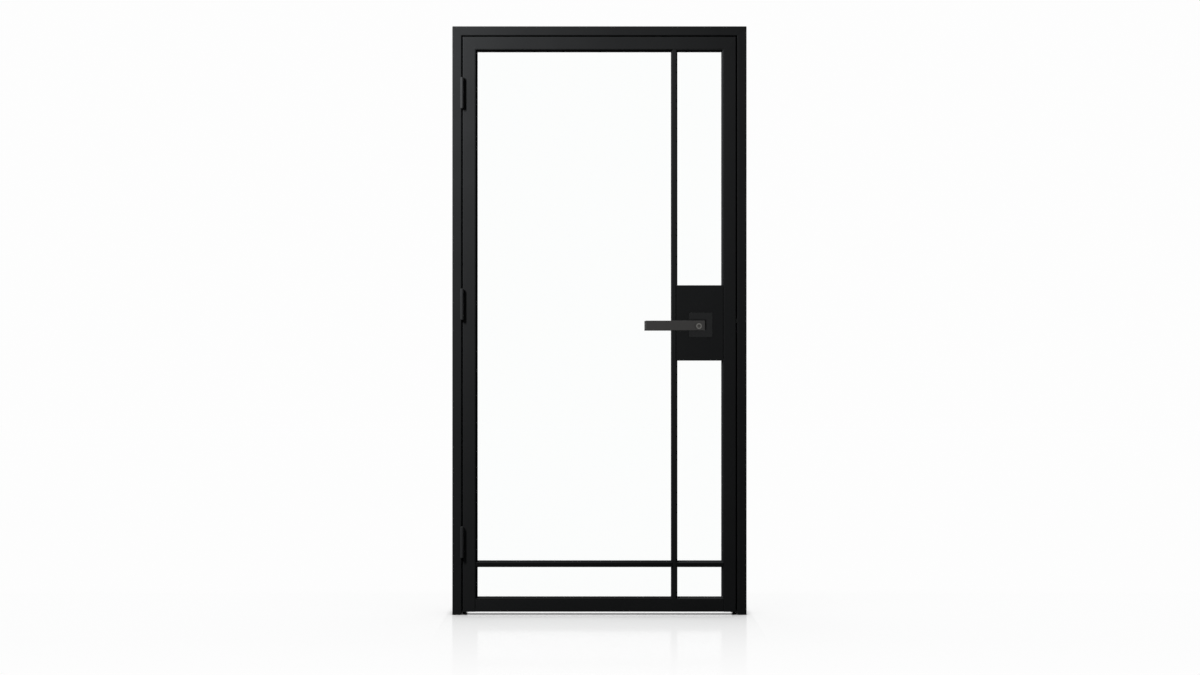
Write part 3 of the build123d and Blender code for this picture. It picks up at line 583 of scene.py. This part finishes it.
lever_finish = ground_lever("satin_graphite_lever")
finish_nodes(lever_finish, "front_lever", "rear_lever")
plug_low, plug_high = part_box("key_plug")
axis = (plug_low + plug_high) / 2
for node, side in (("front_lever", -1), ("rear_lever", 1)):
    under_neck = Vector((axis.x, side * GRUB_FROM_MIDDLE, axis.z - NECK_RADIUS))
    grub = placed(socket_screw(**GRUB_SCREW), under_neck, (0, 0, -1))
    new_piece(node + "_grub_screw", grub, black_zinc, "lever")


# Key cylinder in the front lever and turn button in the rear one: turned bodies in satin nickel, the
# key plug darkened. The keyway has a round eye above a narrow slot.
cylinder_nickel = bare_metal("grey_satin_nickel", (0.1, 0.098, 0.093, 1.0), (0.17, 0.166, 0.158, 1.0),
                             roughness=0.32)
plug_nickel = bare_metal("darkened_nickel", (0.05, 0.049, 0.046, 1.0), (0.085, 0.083, 0.079, 1.0),
                         roughness=0.38)
finish_nodes(cylinder_nickel, "key_cylinder", "turn_button")
finish_nodes(plug_nickel, "key_plug")


# Surround: the white room of the studio. It looks white to the camera, straight, mirrored or through
# glass, and sheds only a little cool light on the door.
WHITE = (0.985, 0.985, 0.985, 1.0)
ROOM_LIGHT = (0.02, 0.0206, 0.0212, 1.0)
scene = bpy.context.scene
scene.view_settings.view_transform = "Standard"
world = bpy.data.worlds.new("white_surround")
scene.world = world
world.use_nodes = True
sky = world.node_tree
sky.nodes.clear()


def seen_ray(tree):
    """1 for what the camera sees, straight, mirrored or through glass."""
    path = shade(tree, "LightPath").outputs
    mirrored = reckon(tree, "MAXIMUM", path["Is Camera Ray"], path["Is Glossy Ray"])
    through = reckon(tree, "MAXIMUM", mirrored, path["Is Transmission Ray"])
    return reckon(tree, "SUBTRACT", through, path["Diffuse Depth"], use_clamp=True)


dim = shade(sky, "Background", {"Color": ROOM_LIGHT}).outputs[0]
white = shade(sky, "Background", {"Color": WHITE}).outputs[0]
surround = shade(sky, "MixShader", {0: seen_ray(sky), 1: dim, 2: white})
shade(sky, "OutputWorld", {"Surface": surround.outputs[0]})


# Floor: a smooth white sheet with a weak gloss. It glows as white as the surround, more with the
# distance in front of the door, so that the door's shadow and its mirror image fade away from it,
# and also behind the leaf and beside the frame. All lines are distances in metres.
FLOOR_HALF_WIDTH = 12.0
FLOOR_COLOUR = (0.95, 0.95, 0.95, 1.0)
FLOOR_BOUNCE = (0.06, 0.06, 0.06, 1.0)
FLOOR_ROUGHNESS = (0.1, 0.12)
FADE_FROM, FADE_TO = -0.03, -1.05
FADE_CURVE = 0.6
NEAR_GLOW, FAR_GLOW = 0.25, 0.92
FRONT_FROM, FRONT_TO = -0.024, -0.022
SLIT_FROM, SLIT_TO = 0.018, 0.03
DOORWAY_FROM, DOORWAY_TO = 0.47, 0.476
BEHIND_FROM, BEHIND_TO = 0.08, 0.6
BEHIND_GLOW = 0.95
BESIDE_WIDTH = 0.03
BESIDE_GLOW = 0.7
floor_body = bmesh.new()
bmesh.ops.create_grid(floor_body, x_segments=2, y_segments=2, size=FLOOR_HALF_WIDTH)
floor_mesh = bpy.data.meshes.new("floor")
floor_body.to_mesh(floor_mesh)
floor_body.free()
floor = bpy.data.objects.new("floor", floor_mesh)
floor.location.z = cad_low.z
scene.collection.objects.link(floor)

floor_paint, tree, skin = new_material("white_floor")
skin.inputs["Base Color"].default_value = FLOOR_COLOUR
skin.inputs["Specular IOR Level"].default_value = 0.06
floor_clouds = shade(tree, "TexNoise", {"Scale": 3.0, "Detail": 2.0}).outputs["Fac"]
tree.links.new(between(tree, floor_clouds, *FLOOR_ROUGHNESS), skin.inputs["Roughness"])
spot = shade(tree, "SeparateXYZ", {0: shade(tree, "NewGeometry").outputs["Position"]}).outputs
from_middle = reckon(tree, "ABSOLUTE", spot["X"])

ahead = between(tree, spot["Y"], 0.0, 1.0, FADE_FROM, FADE_TO)
ahead_glow = between(tree, reckon(tree, "POWER", ahead, FADE_CURVE), NEAR_GLOW, FAR_GLOW)
in_front = between(tree, spot["Y"], 1.0, 0.0, FRONT_FROM, FRONT_TO)
front_glow = reckon(tree, "MULTIPLY", ahead_glow, in_front)
past_slit = between(tree, spot["Y"], 0.0, BEHIND_GLOW, SLIT_FROM, SLIT_TO)
in_doorway = between(tree, from_middle, 1.0, 0.0, DOORWAY_FROM, DOORWAY_TO)
slit_glow = reckon(tree, "MULTIPLY", past_slit, in_doorway)
behind_glow = between(tree, spot["Y"], 0.0, BEHIND_GLOW, BEHIND_FROM, BEHIND_TO)
beside_glow = between(tree, from_middle, 0.0, BESIDE_GLOW, cad_high.x, cad_high.x + BESIDE_WIDTH,
                      interpolation_type="SMOOTHSTEP")
glow_share = front_glow
for other_glow in (slit_glow, behind_glow, beside_glow):
    glow_share = reckon(tree, "MAXIMUM", glow_share, other_glow)

glow = shade(tree, "Emission", {"Color": WHITE}).outputs[0]
seen_floor = shade(tree, "MixShader", {0: glow_share, 1: skin.outputs[0], 2: glow}).outputs[0]
unseen_floor = shade(tree, "BsdfDiffuse", {"Color": FLOOR_BOUNCE}).outputs[0]
shown_floor = shade(tree, "MixShader", {0: seen_ray(tree), 1: unseen_floor, 2: seen_floor})
tree.links.new(shown_floor.outputs[0], tree.nodes["Material Output"].inputs["Surface"])
floor_mesh.materials.append(floor_paint)


# Lamps: a tall soft lamp at the upper left in front, one behind and one at the right behind the door,
# a weak one each for the rose and for the lever's end, and a wide even light from above for the
# floor. Each lights only chosen pieces, and none of them is seen itself.
def packed(nodes):
    """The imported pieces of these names."""
    return [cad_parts[node] for node in nodes]


def chosen_pieces(name, pieces, link_state):
    """A collection that includes or leaves out these pieces for a lamp."""
    chosen = bpy.data.collections.new(name)
    for piece in pieces:
        chosen.objects.link(piece)
    for entry in chosen.collection_objects:
        entry.light_linking.link_state = link_state
    return chosen


def stand_lamp(data, place, target):
    """Turns a lamp to the target and keeps it out of sight."""
    lamp = bpy.data.objects.new(data.name, data)
    lamp.location = place
    lamp.rotation_euler = (Vector(target) - Vector(place)).to_track_quat("-Z", "Y").to_euler()
    lamp.visible_camera = False
    lamp.visible_transmission = False
    scene.collection.objects.link(lamp)
    return lamp


def soft_lamp(name, place, target, width, height, watts, lit=(), unlit=()):
    """A soft lamp for the lit pieces alone, or else for all but the floor, the glass and the unlit ones."""
    data = bpy.data.lights.new(name, "AREA")
    data.shape = "RECTANGLE"
    data.size = width
    data.size_y = height
    data.energy = watts
    lamp = stand_lamp(data, place, target)
    if lit:
        receivers = chosen_pieces(name + "_lights", packed(lit), "INCLUDE")
    else:
        receivers = chosen_pieces(name + "_passes_by", [floor] + packed([*panes, *unlit]), "EXCLUDE")
    lamp.light_linking.receiver_collection = receivers
    return lamp


side_lamp = soft_lamp("side_lamp", place=(-1.8, -1.31, 2.67), target=(-1.87, 0.0, 2.55),
                      width=0.4, height=0.9, watts=124.0, unlit=["front_rose"])
unshaded = ("front_lever", "front_rose", "front_rose_base", "spindle", "key_cylinder", "key_plug")
side_lamp.light_linking.blocker_collection = chosen_pieces(
    "side_lamp_shines_through", packed(unshaded), "EXCLUDE")
soft_lamp("rear_lamp", place=(0.3, 3.0, 2.4), target=(0.0, 0.0, 1.2), width=1.2, height=1.2, watts=80.0)
soft_lamp("right_lamp", place=(2.6, 0.9, 2.2), target=(0.5, 0.05, 1.1), width=1.2, height=2.2,
          watts=70.0, unlit=beads + knuckles)
soft_lamp("lever_lamp", place=(3.0, -0.75, 1.2), target=(0.36, -0.08, 1.03), width=0.5, height=0.5,
          watts=23.0, lit=["front_lever", "key_cylinder"])
soft_lamp("rose_lamp", place=(-0.13, -3.03, 0.82), target=(0.38, -0.03, 1.03), width=0.06, height=0.06,
          watts=20.0, lit=["front_rose"])

sky_light = bpy.data.lights.new("floor_lamp", "SUN")
sky_light.angle = math.radians(58.0)
sky_light.energy = 3.1
floor_lamp = stand_lamp(sky_light, place=(0.0, 0.0, 4.0), target=(0.0, 0.001, 0.0))
floor_lamp.light_linking.receiver_collection = chosen_pieces("floor_lamp_lights", [floor], "INCLUDE")


# Camera: level and straight in front, at the photograph's distance and height.
PHOTO_WIDTH = 1200
PHOTO_HEIGHT = 675
DOOR_CENTRE_PIXEL = 599.45
DOOR_FOOT_PIXEL = 614.95
DOOR_TOP_PIXEL = 26.17
CAMERA_DISTANCE = 6.0
SENSOR_WIDTH = 36.0
door_height = cad_high.z - cad_low.z
metres_per_pixel = door_height / (DOOR_FOOT_PIXEL - DOOR_TOP_PIXEL)
front_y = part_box("hinge_jamb")[0].y
camera_data = bpy.data.cameras.new("camera")
camera_data.sensor_width = SENSOR_WIDTH
camera_data.lens = SENSOR_WIDTH * CAMERA_DISTANCE / (PHOTO_WIDTH * metres_per_pixel)
camera = bpy.data.objects.new("camera", camera_data)
camera.location = (
    (PHOTO_WIDTH / 2 - DOOR_CENTRE_PIXEL) * metres_per_pixel,
    front_y - CAMERA_DISTANCE,
    cad_low.z + (DOOR_FOOT_PIXEL - PHOTO_HEIGHT / 2) * metres_per_pixel,
)
camera.rotation_euler = (math.pi / 2, 0.0, 0.0)
scene.collection.objects.link(camera)
scene.camera = camera
